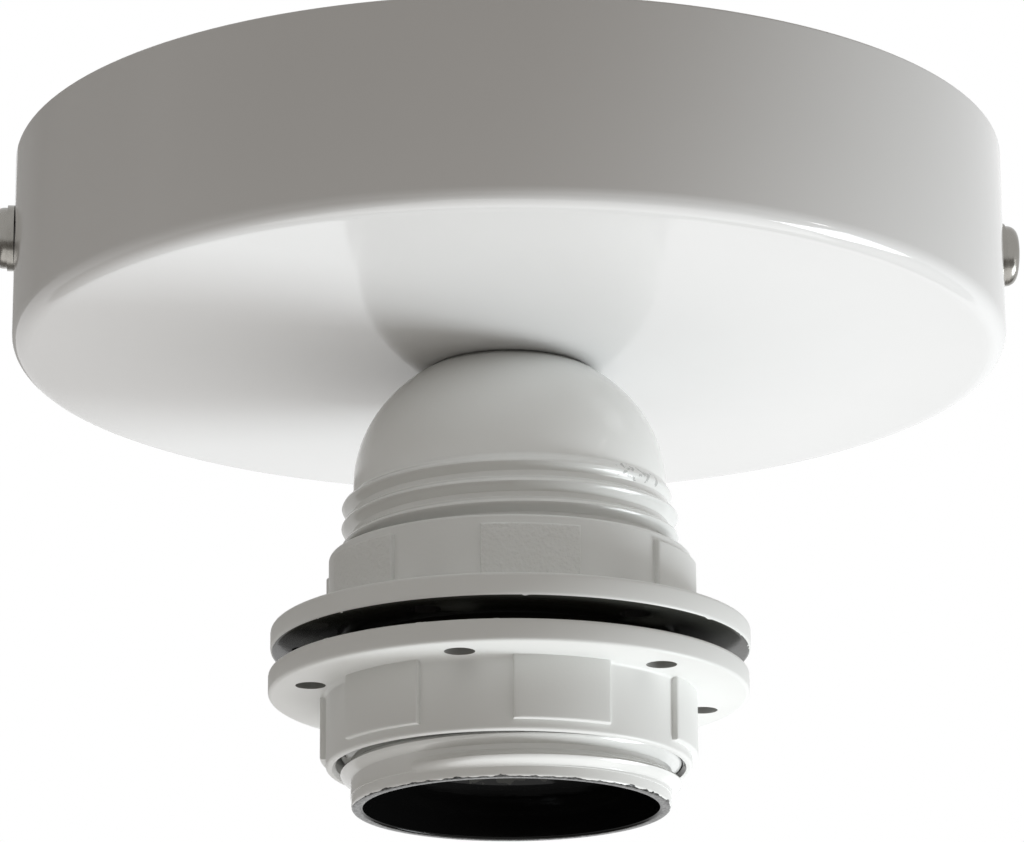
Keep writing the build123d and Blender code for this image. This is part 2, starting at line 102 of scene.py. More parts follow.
class NodeBoard:
    """A material's node tree, with short calls for the nodes that the finishes use."""

    def __init__(self, name: str) -> None:
        """Starts an empty Principled material.

        Args:
            name: The material's name.
        """
        self.material = bpy.data.materials.new(name)
        self.material.use_nodes = True
        self.tree = self.material.node_tree
        self.tree.nodes.clear()
        self.output = self.tree.nodes.new("ShaderNodeOutputMaterial")
        self.shader = self.tree.nodes.new("ShaderNodeBsdfPrincipled")
        self.link(self.shader.outputs["BSDF"], self.output.inputs["Surface"])
        self.place = self.tree.nodes.new("ShaderNodeTexCoord").outputs["Object"]

    def link(self, source: Socket, target: Socket) -> None:
        """Joins two sockets."""
        self.tree.links.new(source, target)

    def math(self, operation: str, first: float | Socket, second: float | Socket = 0.0) -> Socket:
        """Adds a Math node.

        Args:
            operation: The node's operation.
            first: A socket or a number.
            second: A socket or a number.

        Returns:
            The node's output socket.
        """
        node = self.tree.nodes.new("ShaderNodeMath")
        node.operation = operation
        for value, socket in zip((first, second), node.inputs):
            if isinstance(value, (int, float)):
                socket.default_value = value
            else:
                self.link(value, socket)
        return node.outputs[0]

    def noise(self, scale: float, detail: float = 2.0, stretch: tuple[float, float, float] | None = None) -> Socket:
        """Adds a Noise texture on Object coordinates.

        Args:
            scale: Noise cells per metre.
            detail: Octaves.
            stretch: Scale of each axis before the noise, for brushed lines.

        Returns:
            The noise value, about 0.5 on average.
        """
        node = self.tree.nodes.new("ShaderNodeTexNoise")
        node.inputs["Scale"].default_value = scale
        node.inputs["Detail"].default_value = detail
        source = self.place
        if stretch is not None:
            mapping = self.tree.nodes.new("ShaderNodeMapping")
            mapping.inputs["Scale"].default_value = stretch
            self.link(self.place, mapping.inputs["Vector"])
            source = mapping.outputs["Vector"]
        self.link(source, node.inputs["Vector"])
        return node.outputs["Fac"]

    def spread(self, value: Socket, low: float, high: float, to_low: float, to_high: float) -> Socket:
        """Maps a value from one range to another and clamps it.

        Args:
            value: The socket to map.
            low: Start of the range that comes in.
            high: End of that range.
            to_low: Start of the range that goes out.
            to_high: End of that range.

        Returns:
            The mapped value.
        """
        node = self.tree.nodes.new("ShaderNodeMapRange")
        node.inputs["From Min"].default_value = low
        node.inputs["From Max"].default_value = high
        node.inputs["To Min"].default_value = to_low
        node.inputs["To Max"].default_value = to_high
        self.link(value, node.inputs["Value"])
        return node.outputs["Result"]

    def blend(self, factor: Socket, first: Colour | Socket, second: Colour | Socket) -> Socket:
        """Mixes two colours.

        Args:
            factor: 0 for the first colour and 1 for the second.
            first: A colour or a socket.
            second: A colour or a socket.

        Returns:
            The mixed colour.
        """
        node = self.tree.nodes.new("ShaderNodeMix")
        node.data_type = "RGBA"
        self.link(factor, node.inputs["Factor"])
        ends = [socket for socket in node.inputs if socket.type == "RGBA"]
        for value, socket in zip((first, second), ends):
            if isinstance(value, tuple):
                socket.default_value = (*value, 1.0)
            else:
                self.link(value, socket)
        return next(socket for socket in node.outputs if socket.type == "RGBA")

    def axes(self) -> tuple[Socket, Socket, Socket]:
        """Gives X, Y and Z, in metres."""
        parts = self.tree.nodes.new("ShaderNodeSeparateXYZ")
        self.link(self.place, parts.inputs[0])
        return parts.outputs["X"], parts.outputs["Y"], parts.outputs["Z"]

    def height_and_radius(self) -> tuple[Socket, Socket]:
        """Gives the height above the ceiling plane and the distance from the vertical axis, in metres."""
        x, y, height = self.axes()
        across = self.math("ADD", self.math("POWER", x, 2.0), self.math("POWER", y, 2.0))
        return height, self.math("SQRT", across)

    def bearing(self) -> Socket:
        """Gives the angle round the vertical axis from the front towards +X, in radians."""
        x, y, _ = self.axes()
        return self.math("ARCTAN2", x, self.math("MULTIPLY", y, -1.0))

    def between(self, value: Socket, low: float, high: float) -> Socket:
        """Gives 1 where a value lies between two numbers and 0 elsewhere."""
        return self.math("MULTIPLY", self.math("GREATER_THAN", value, low), self.math("LESS_THAN", value, high))

    def clouds(self, scale: float, octaves: float = 3.0) -> Socket:
        """Gives soft patches from 0 to 1 with no hard borders."""
        return self.spread(self.noise(scale, octaves), 0.0, 1.0, -0.4, 1.4)

    def bump(self, height: Socket, distance: float) -> None:
        """Raises the surface by a height, where 1 stands for a distance in metres."""
        node = self.tree.nodes.new("ShaderNodeBump")
        node.inputs["Strength"].default_value = 1.0
        node.inputs["Distance"].default_value = distance
        self.link(height, node.inputs["Height"])
        self.link(node.outputs["Normal"], self.shader.inputs["Normal"])

    def hide_from_camera(self, cover: float | Socket = 1.0) -> None:
        """Lets the camera look through the surface, which other rays still meet.

        Args:
            cover: The share of those rays that meet it.
        """
        path = self.tree.nodes.new("ShaderNodeLightPath")
        others = self.math("SUBTRACT", 1.0, path.outputs["Is Camera Ray"])
        self.link(self.math("MULTIPLY", cover, others), self.shader.inputs["Alpha"])

    def colour(self, source: Socket) -> None:
        """Sets the surface colour from a socket."""
        self.link(source, self.shader.inputs["Base Color"])

    def roughness(self, source: Socket) -> None:
        """Sets the roughness from a socket."""
        self.link(source, self.shader.inputs["Roughness"])

    def bare_sheen(self, sheen: Socket, bare: Socket, share: float, dull: Socket, dulled: float) -> None:
        """Sets the gloss of a painted piece with bare spots.

        Args:
            sheen: Roughness of the paint.
            bare: 1 where there is no paint.
            share: Roughness of a bare spot as a share of the paint's.
            dull: 1 where the surface reflects less.
            dulled: The specular level there.
        """
        self.roughness(self.math("MULTIPLY", sheen, self.spread(bare, 0.0, 1.0, 1.0, share)))
        self.link(self.spread(dull, 0.0, 1.0, PLAIN_SPECULAR, dulled), self.shader.inputs["Specular IOR Level"])


@dataclass(frozen=True)
class SprayedPaint:
    """Smooth gloss paint on steel, with the faint ripple that a sprayed coat has."""

    name: str
    colour: Colour
    shade: Colour
    gloss_low: float = 0.03
    gloss_high: float = 0.15
    gloss_scale: float = 60.0
    cloud_scale: float = 22.0
    ripple: float = 0.000006
    ripple_scale: float = 260.0

    def make(self) -> bpy.types.Material:
        """Builds the material."""
        board = NodeBoard(self.name)
        board.colour(board.blend(board.clouds(self.cloud_scale), self.colour, self.shade))
        board.roughness(board.spread(board.noise(self.gloss_scale), 0.0, 1.0, self.gloss_low, self.gloss_high))
        board.bump(board.noise(self.ripple_scale, 1.0), self.ripple)
        return board.material


@dataclass(frozen=True)
class PaintedBakelite:
    """White paint over black bakelite, bare under the shade rings, near the axis and where it is chipped; on the dome
    the black near the axis is painted shade for the dark line where the dome meets the rose.
    """

    name: str
    paint: Colour
    paint_shade: Colour
    bakelite: Colour
    band_top: float
    band_bottom: float
    bare_and_shade_radius: float
    jag: float = 0.0005
    jag_scale: float = 700.0
    bare_jag_share: float = 0.35
    cloud_scale: float = 45.0
    chip_arc: Span | None = None
    chip_rise: Span = (0.0, 0.0)
    chip_jag_share: float = 0.6
    chip_scale: float = 1300.0
    chip_level: float = 0.55
    chip_depth: float = 0.35
    worn_below: float = -1.0
    worn_radius: float = 0.0188
    worn_jag_share: float = 0.2
    worn_scale: float = 2600.0
    worn_share: Span = (0.84, 1.0)
    worn: Colour = (0.012, 0.012, 0.012)
    band: Colour = (0.03, 0.03, 0.026)
    sheen: Span = (0.06, 0.26)
    sheen_scale: float = 130.0
    bare_sheen: float = 0.5
    bare_specular: float = 0.15
    bump_scale: float = 330.0
    bump_height: float = 0.00003
    bare_depth: float = -1.5

    def chips(self, board: NodeBoard, height: Socket, jag: Socket) -> Socket:
        """Gives how far the paint is chipped in the arc that has chips."""
        spots = board.math("GREATER_THAN", board.noise(self.chip_scale), self.chip_level)
        arc = board.between(board.bearing(), *(math.radians(angle) for angle in self.chip_arc))
        level = board.math("ADD", height, board.math("MULTIPLY", jag, self.chip_jag_share))
        chips = board.math("MULTIPLY", board.math("MULTIPLY", arc, board.between(level, *self.chip_rise)), spots)
        return board.math("MULTIPLY", chips, self.chip_depth)

    def worn_lip(self, board: NodeBoard, height: Socket, radius: Socket, jag: Socket) -> Socket:
        """Gives how far the paint is worn off the bottom face."""
        specks = board.spread(board.noise(self.worn_scale, 3.0), 0.35, 0.6, *self.worn_share)
        edge = board.math("ADD", radius, board.math("MULTIPLY", jag, self.worn_jag_share))
        inner = board.math("LESS_THAN", edge, self.worn_radius)
        low = board.math("LESS_THAN", height, self.worn_below)
        return board.math("MULTIPLY", board.math("MULTIPLY", low, inner), specks)

    def make(self) -> bpy.types.Material:
        """Builds the material."""
        board = NodeBoard(self.name)
        height, radius = board.height_and_radius()
        jag = board.spread(board.noise(self.jag_scale, 3.0), 0.3, 0.7, -self.jag, self.jag)
        band = board.between(board.math("ADD", height, jag), self.band_bottom, self.band_top)
        # Near the axis the colour is black: bare bakelite deepened by painted shade in the skirt's mouth, painted
        # shade alone on the dome's top.
        edge = board.math("ADD", radius, board.math("MULTIPLY", jag, self.bare_jag_share))
        bare = board.math("MAXIMUM", band, board.math("LESS_THAN", edge, self.bare_and_shade_radius))
        if self.chip_arc is not None:
            bare = board.math("MAXIMUM", bare, self.chips(board, height, jag))
        worn = self.worn_lip(board, height, radius, jag)
        paint = board.blend(board.clouds(self.cloud_scale), self.paint, self.paint_shade)
        paint = board.blend(worn, paint, self.worn)
        board.colour(board.blend(bare, paint, board.blend(band, self.bakelite, self.band)))
        sheen = board.spread(board.noise(self.sheen_scale), 0.0, 1.0, *self.sheen)
        board.bare_sheen(sheen, bare, self.bare_sheen, board.math("MAXIMUM", bare, worn), self.bare_specular)
        relief = board.math("ADD", board.noise(self.bump_scale), board.math("MULTIPLY", bare, self.bare_depth))
        board.bump(relief, self.bump_height)
        return board.material


@dataclass(frozen=True)
class RingPaint:
    """Satin white paint on a bakelite shade ring, with bare clamping face and bore."""

    name: str
    paint: Colour
    paint_shade: Colour
    bakelite: Colour
    clamping_face: float
    face_up: bool
    face_radius: float
    bore_radius: float
    grain: float = 0.00001
    grain_scale: float = 2100.0
    gloss: Span = (0.34, 0.5)
    gloss_scale: float = 200.0
    cloud_scale: float = 70.0
    skin: float = 0.00012
    jag: float = 0.0005
    jag_scale: float = 420.0
    bare_gloss: float = 0.3
    bare_specular: float = 0.14

    def make(self) -> bpy.types.Material:
        """Builds the material."""
        board = NodeBoard(self.name)
        height, radius = board.height_and_radius()
        jag = board.spread(board.noise(self.jag_scale, 4.0), 0.55, 0.75, 0.0, self.jag)
        if self.face_up:
            on_face = board.math("GREATER_THAN", height, self.clamping_face - self.skin)
        else:
            on_face = board.math("LESS_THAN", height, self.clamping_face + self.skin)
        within = board.math("LESS_THAN", board.math("ADD", radius, jag), self.face_radius)
        bore = board.math("LESS_THAN", radius, self.bore_radius)
        bare = board.math("MAXIMUM", board.math("MULTIPLY", on_face, within), bore)
        paint = board.blend(board.clouds(self.cloud_scale), self.paint, self.paint_shade)
        board.colour(board.blend(bare, paint, self.bakelite))
        satin = board.spread(board.noise(self.gloss_scale), 0.0, 1.0, *self.gloss)
        board.bare_sheen(satin, bare, self.bare_gloss, bare, self.bare_specular)
        board.bump(board.noise(self.grain_scale, 3.0), self.grain)
        return board.material


@dataclass(frozen=True)
class MouldedPlastic:
    """Moulded plastic with a fine skin."""

    name: str
    colour: Colour
    shade: Colour
    gloss: Span
    gloss_scale: float = 300.0
    cloud_scale: float = 80.0
    grain: float = 0.00001
    grain_scale: float = 1300.0

    def make(self) -> bpy.types.Material:
        """Builds the material."""
        board = NodeBoard(self.name)
        board.colour(board.blend(board.clouds(self.cloud_scale), self.colour, self.shade))
        board.roughness(board.spread(board.noise(self.gloss_scale), 0.0, 1.0, *self.gloss))
        board.bump(board.noise(self.grain_scale), self.grain)
        return board.material


@dataclass(frozen=True)
class BareMetal:
    """Plain or plated metal with faint drawn lines and dulled spots."""

    name: str
    colour: Colour
    dull: Colour
    gloss: Span
    cloud_scale: float = 150.0
    line_scale: float = 1800.0
    stretch: tuple[float, float, float] = (1.0, 1.0, 0.1)
    scratch: float = 0.000008

    def make(self) -> bpy.types.Material:
        """Builds the material."""
        board = NodeBoard(self.name)
        board.shader.inputs["Metallic"].default_value = 1.0
        board.colour(board.blend(board.clouds(self.cloud_scale, 4.0), self.colour, self.dull))
        lines = board.noise(self.line_scale, 3.0, stretch=self.stretch)
        board.roughness(board.spread(lines, 0.25, 0.75, *self.gloss))
        board.bump(lines, self.scratch)
        return board.material


PAINT_WHITE: Colour = (0.80, 0.80, 0.795)
PAINT_SHADE: Colour = (0.77, 0.77, 0.765)
BAKELITE_BLACK: Colour = (0.012, 0.012, 0.011)
# Darker than the other bakelite black: painted shade inside the skirt's mouth and socket; the skirt's paint chips
# share it.
BARREL_SHADE_BLACK: Colour = (0.004, 0.004, 0.004)
RING_BLACK: Colour = (0.045, 0.046, 0.04)
RING_WHITE: Colour = (0.83, 0.838, 0.822)
RING_SHADE: Colour = (0.805, 0.813, 0.797)


class Finishes:
    """Every finish of the lamp holder, made once."""

    def __init__(self) -> None:
        """Makes the materials."""
        self.steel_paint = SprayedPaint("sprayed_white_steel", PAINT_WHITE, PAINT_SHADE).make()
        # The skirt's bare black is deeper than the other bakelite: painted shade in its mouth and socket.
        self.skirt_paint = PaintedBakelite(
            "skirt_paint", (0.87, 0.878, 0.862), (0.845, 0.853, 0.837), BARREL_SHADE_BLACK,
            band_top=-0.0502, band_bottom=-0.0732, bare_and_shade_radius=0.0178, chip_arc=(36.0, 60.0),
            chip_rise=(-0.0426, -0.0411), worn_below=-0.0794).make()
        # The dome's black top inside 9.8 mm is painted shade: it stands in for the dark contact line where the dome
        # meets the rose.
        self.dome_paint = PaintedBakelite(
            "dome_paint", (0.905, 0.913, 0.897), (0.885, 0.893, 0.877), BAKELITE_BLACK,
            band_top=-0.0428, band_bottom=-0.06, bare_and_shade_radius=0.0098, jag=0.0002).make()
        self.upper_ring_paint = RingPaint(
            "upper_ring_paint", RING_WHITE, RING_SHADE, RING_BLACK,
            clamping_face=-0.0608, face_up=False, face_radius=0.0286, bore_radius=0.0207).make()
        self.upper_panel_grain = RingPaint(
            "upper_ring_grained_panel", RING_WHITE, RING_SHADE, RING_BLACK,
            clamping_face=-0.0608, face_up=False, face_radius=0.0286, bore_radius=0.0207, grain=0.00017,
            gloss=(0.5, 0.7)).make()
        self.lower_ring_paint = RingPaint(
            "lower_ring_paint", RING_WHITE, RING_SHADE, RING_BLACK,
            clamping_face=-0.06335, face_up=True, face_radius=0.0286, bore_radius=0.0207).make()
        # Mid-grey instead of the ring's white paint: painted shade on the lower ring's hole walls.
        self.hole_shade = MouldedPlastic("ring_hole_wall", (0.36, 0.36, 0.345), (0.28, 0.28, 0.27), (0.4, 0.6)).make()
        self.bakelite = MouldedPlastic("black_bakelite", BAKELITE_BLACK, (0.022, 0.021, 0.02), (0.12, 0.24)).make()
        self.polyamide = MouldedPlastic(
            "natural_polyamide", (0.80, 0.79, 0.74), (0.74, 0.73, 0.67), (0.38, 0.5)).make()
        self.zinc = BareMetal("zinc_plate", (0.56, 0.57, 0.58), (0.46, 0.46, 0.46), (0.26, 0.44)).make()
        self.nickel = BareMetal("nickel_plate", (0.34, 0.33, 0.31), (0.24, 0.23, 0.21), (0.2, 0.36)).make()
        self.tin = BareMetal("tin_plate", (0.70, 0.69, 0.66), (0.58, 0.57, 0.54), (0.3, 0.46)).make()
        self.brass = BareMetal("plain_brass", (0.80, 0.60, 0.28), (0.62, 0.45, 0.20), (0.22, 0.4)).make()


# Mesh work, in millimetres


def closed_wire(bm: BMesh, outline: Outline) -> list[bmesh.types.BMVert]:
    """Lays a closed outline of (radius, height) points in the XZ plane.

    Args:
        bm: The mesh to add to.
        outline: The points, in millimetres.

    Returns:
        The new vertices, in order.
    """
    verts = [bm.verts.new((radius, 0.0, height)) for radius, height in outline]
    for first, second in zip(verts, verts[1:] + verts[:1]):
        bm.edges.new((first, second))
    return verts


def round_corner(bm: BMesh, vert: bmesh.types.BMVert, radius: float, segments: int = 4) -> None:
    """Rounds one corner of a wire outline.

    Args:
        bm: The mesh that holds the outline.
        vert: The corner.
        radius: Radius of the round for a square corner.
        segments: Number of edges in the round.
    """
    bmesh.ops.bevel(bm, geom=[vert], offset=radius, offset_type="OFFSET", segments=segments, profile=0.5,
                    affect="VERTICES", material=-1)


def turn_full(bm: BMesh, steps: int) -> None:
    """Spins everything in the mesh once round the vertical axis.

    Args:
        bm: The mesh, which holds an outline in the XZ plane.
        steps: Number of steps in the full turn.
    """
    geom = list(bm.verts) + list(bm.edges)
    bmesh.ops.spin(bm, geom=geom, cent=(0, 0, 0), axis=(0, 0, 1), angle=FULL_TURN, steps=steps, use_merge=True,
                   use_duplicate=False)
    bmesh.ops.remove_doubles(bm, verts=bm.verts, dist=MERGE_DISTANCE)


def turned(outline: Outline, rounds: dict[int, float], steps: int, segments: int = 4) -> BMesh:
    """Turns a closed outline into a ring-shaped solid.

    Args:
        outline: (radius, height) points in millimetres.
        rounds: Radius of the round at some of the points.
        steps: Number of steps in the full turn.
        segments: Number of edges in each round.

    Returns:
        The new mesh.
    """
    bm = bmesh.new()
    verts = closed_wire(bm, outline)
    for index, radius in rounds.items():
        round_corner(bm, verts[index], radius, segments)
    turn_full(bm, steps)
    return bm


def add_mesh(bm: BMesh, other: BMesh) -> None:
    """Adds another mesh to a mesh and frees it."""
    holder = bpy.data.meshes.new("join")
    bmesh.ops.recalc_face_normals(other, faces=other.faces)
    other.to_mesh(holder)
    other.free()
    bm.from_mesh(holder)
    bpy.data.meshes.remove(holder)


def piece_from(bm: BMesh, name: str, materials: list[bpy.types.Material], outward: bool = True) -> bpy.types.Object:
    """Makes an object of a mesh in millimetres, with its place in its mesh.

    Args:
        bm: The mesh, which is freed.
        name: The piece's name.
        materials: Its materials, in the order of the faces' indices.
        outward: Whether the faces are turned outwards first.

    Returns:
        The new object.
    """
    if outward:
        bmesh.ops.recalc_face_normals(bm, faces=bm.faces)
    bmesh.ops.scale(bm, vec=(MM, MM, MM), verts=bm.verts)
    for face in bm.faces:
        face.smooth = True
    mesh = bpy.data.meshes.new(name)
    bm.to_mesh(mesh)
    bm.free()
    mesh.set_sharp_from_angle(angle=SHARP_ANGLE)
    for material in materials:
        mesh.materials.append(material)
    made = bpy.data.objects.new(name, mesh)
    bpy.context.scene.collection.objects.link(made)
    return made


def cut_away(piece: bpy.types.Object, tool: BMesh) -> None:
    """Cuts a tool, given in millimetres, out of a piece.

    Args:
        piece: The piece, whose mesh is replaced.
        tool: The closed shape to cut away, which is freed.
    """
    cutter = piece_from(tool, piece.name + "_cutter", [])
    modifier = piece.modifiers.new("cut", "BOOLEAN")
    modifier.operation = "DIFFERENCE"
    modifier.solver = "EXACT"
    modifier.object = cutter
    bpy.context.view_layer.update()
    evaluated = piece.evaluated_get(bpy.context.evaluated_depsgraph_get())
    carved = bpy.data.meshes.new_from_object(evaluated)
    piece.modifiers.clear()
    old = piece.data
    carved.set_sharp_from_angle(angle=SHARP_ANGLE)
    piece.data = carved
    bpy.data.meshes.remove(old)
    bpy.data.meshes.remove(cutter.data)


def taken_back(piece: bpy.types.Object) -> BMesh:
    """Removes a piece and gives its mesh back in millimetres, for more work on it."""
    bm = bmesh.new()
    bm.from_mesh(piece.data)
    bmesh.ops.scale(bm, vec=(1 / MM, 1 / MM, 1 / MM), verts=bm.verts)
    bpy.data.objects.remove(piece)
    return bm


def block(low: Vector, high: Vector) -> BMesh:
    """A closed box between two corners, for cutting."""
    bm = bmesh.new()
    bmesh.ops.create_cube(bm, size=1.0, matrix=Matrix.Translation((low + high) / 2) @ Matrix.Diagonal(
        (*(high - low), 1.0)))
    return bm


def peg(radius: float, length: float, place: Matrix) -> BMesh:
    """A closed cylinder about a local Z axis, for cutting.

    Args:
        radius: Radius in millimetres.
        length: Length in millimetres.
        place: Its place and turn.

    Returns:
        The new mesh.
    """
    bm = bmesh.new()
    bmesh.ops.create_cone(bm, cap_ends=True, segments=PEG_SIDES, radius1=radius, radius2=radius, depth=length,
                          matrix=place)
    return bm


@dataclass(frozen=True)
class Helix:
    """A right-hand helix whose ridge fades into the wall at both ends."""

    pitch: float
    turns: float
    start_angle: float
    start_height: float
    root: float
    fade_in: float = 0.1
    fade_out: float = 0.1
    fade_curve: float = 1.5

    def rise_at(self, progress: float) -> float:
        """Gives the share of its full height that the ridge has after some turns."""
        near_end = min(progress / self.fade_in, (self.turns - progress) / self.fade_out, 1.0)
        return 1.0 - (1.0 - max(near_end, 0.0)) ** self.fade_curve

    def sweep(self, outline: Outline, steps_per_turn: int) -> BMesh:
        """Sweeps a closed ridge outline along the helix and closes both ends.

        Args:
            outline: (radius, height) points of the ridge, in millimetres, about height 0.
            steps_per_turn: Number of steps in each turn.

        Returns:
            The new mesh.
        """
        bm = bmesh.new()
        closed_wire(bm, outline)
        steps = round(self.turns * steps_per_turn)
        bmesh.ops.contextual_create(bm, geom=list(bm.edges))
        section = list(bm.verts) + list(bm.edges) + list(bm.faces)
        bmesh.ops.spin(bm, geom=section, cent=(0, 0, 0), axis=(0, 0, 1), dvec=(0, 0, self.pitch * self.turns / steps),
                       angle=self.turns * FULL_TURN, steps=steps, use_merge=False, use_duplicate=False)
        for vert in bm.verts:
            radius = math.hypot(vert.co.x, vert.co.y)
            part_turn = math.atan2(vert.co.y, vert.co.x) / FULL_TURN % 1.0
            progress = round(vert.co.z / self.pitch - part_turn) + part_turn
            faded = self.root + (radius - self.root) * self.rise_at(progress)
            if (radius - self.root) * (faded - radius) < 0:
                vert.co.x *= faded / radius
                vert.co.y *= faded / radius
        place = Matrix.Translation((0, 0, self.start_height)) @ Matrix.Rotation(self.start_angle, 4, "Z")
        bmesh.ops.transform(bm, matrix=place, verts=bm.verts)
        bmesh.ops.recalc_face_normals(bm, faces=bm.faces)
        return bm


def settle(piece: bpy.types.Object, body: Body, slot: Slot, *nodes: str) -> bpy.types.Object:
    """Lets a finished piece ride on its body and stand for CAD nodes.

    Args:
        piece: The piece.
        body: The body that it rides on.
        slot: The material slot of the record; not used.
        nodes: The CAD nodes that it replaces.

    Returns:
        The same piece.
    """
    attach(piece, body.value)
    if nodes:
        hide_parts(*nodes)
    LOG.info("%s: %d faces", piece.name, len(piece.data.polygons))
    return piece


# Sub-assemblies


@dataclass
class CeilingRose:
    """The pressed steel cup that covers the ceiling box, its underside drawn down a little at the middle."""

    finishes: Finishes
    radius: float = 60.0
    height: float = 24.6
    wall: float = 1.2
    edge_round: float = 2.2
    rim_round: float = 0.3
    belly: float = 1.32
    belly_radius: float = 57.0
    nipple_hole: float = 5.25
    screw_hole: float = 2.2
    screw_depth: float = 9.8
    steps: int = 160
    round_steps: int = 6

    def underside(self, steps: int = 16) -> Outline:
        """Gives (radius, height) points of the underside from its hole outwards."""
        span = self.belly_radius - self.nipple_hole
        radii = [self.nipple_hole + span * step / steps for step in range(steps + 1)]
        return [(radius, -self.height - self.belly * (1 - (radius / self.belly_radius) ** 2) ** 2)
                for radius in radii]

    def build(self) -> bpy.types.Object:
        """Builds the cup with its three holes."""
        inner = self.radius - self.wall
        floor = self.wall - self.height
        outline = [(self.radius, -self.height), (self.radius, -self.height / 2), (self.radius, 0.0), (inner, 0.0),
                   (inner, -self.height / 2), (inner, floor), (self.nipple_hole, floor), *self.underside()]
        rounds = {0: self.edge_round, 2: self.rim_round, 3: self.rim_round, 5: self.edge_round - self.wall}
        solid = turned(outline, rounds, self.steps, self.round_steps)
        cup = piece_from(solid, "ceiling_rose_cup", [self.finishes.steel_paint])
        across = Matrix.Translation((0, 0, -self.screw_depth)) @ Matrix.Rotation(math.pi / 2, 4, "Y")
        cut_away(cup, peg(self.screw_hole, 3 * self.radius, across))
        return settle(cup, Body.HOLDER, Slot.STEEL_PAINT, "ceiling_rose")


@dataclass
class HolderDome:
    """The oval top of the lamp holder, with its boss and spigot."""

    finishes: Finishes
    radius: float = 18.8
    rise: float = 16.7
    centre_height: float = -40.2
    top: float = -25.98
    seam: float = -42.4
    wall: float = 2.3
    crown: float = 0.6
    seam_round: float = 0.25
    boss_radius: float = 9.6
    boss_end: float = -34.0
    bush_radius: float = 7.05
    bush_top: float = -26.8
    nipple_hole: float = 5.25
    spigot_radius: float = 17.1
    spigot_bore: float = 15.3
    spigot_length: float = 6.0
    lip_radius: float = 14.2
    lip_base: float = -44.0
    steps: int = 128

    def oval(self, radius: float, rise: float, top: float, steps: int = 14) -> Outline:
        """Points of the oval from its widest place up to a height.

        Args:
            radius: Half width of the oval.
            rise: Half height of the oval.
            top: Height at which it stops.
            steps: Number of steps.

        Returns:
            (radius, height) points from the widest place upwards.
        """
        last = math.asin((top - self.centre_height) / rise)
        return [(radius * math.cos(last * step / steps), self.centre_height + rise * math.sin(last * step / steps))
                for step in range(steps + 1)]

    def build(self) -> bpy.types.Object:
        """Builds the dome with its boss and spigot."""
        outer = self.oval(self.radius, self.rise, self.top)
        inner = self.oval(self.radius - self.wall, self.rise - self.wall, self.top - self.wall - self.crown)
        inner = [point for point in inner if point[0] > self.boss_radius]
        boss_meet = self.centre_height + (self.rise - self.wall) * math.sqrt(
            1 - (self.boss_radius / (self.radius - self.wall)) ** 2)
        outline = [(self.radius, self.seam), *outer, (self.nipple_hole, self.top), (self.nipple_hole, self.bush_top),
                   (self.bush_radius, self.bush_top), (self.bush_radius, self.boss_end),
                   (self.boss_radius, self.boss_end), (self.boss_radius, boss_meet), *reversed(inner),
                   (self.radius - self.wall, self.seam), (self.lip_radius, self.seam),
                   (self.lip_radius, self.lip_base), (self.spigot_bore, self.lip_base),
                   (self.spigot_bore, self.seam - self.spigot_length),
                   (self.spigot_radius, self.seam - self.spigot_length), (self.spigot_radius, self.seam)]
        solid = turned(outline, {0: self.seam_round}, self.steps)
        dome = piece_from(solid, "holder_dome_shell", [self.finishes.dome_paint])
        return settle(dome, Body.HOLDER, Slot.HOLDER_PAINT, "holder_dome")


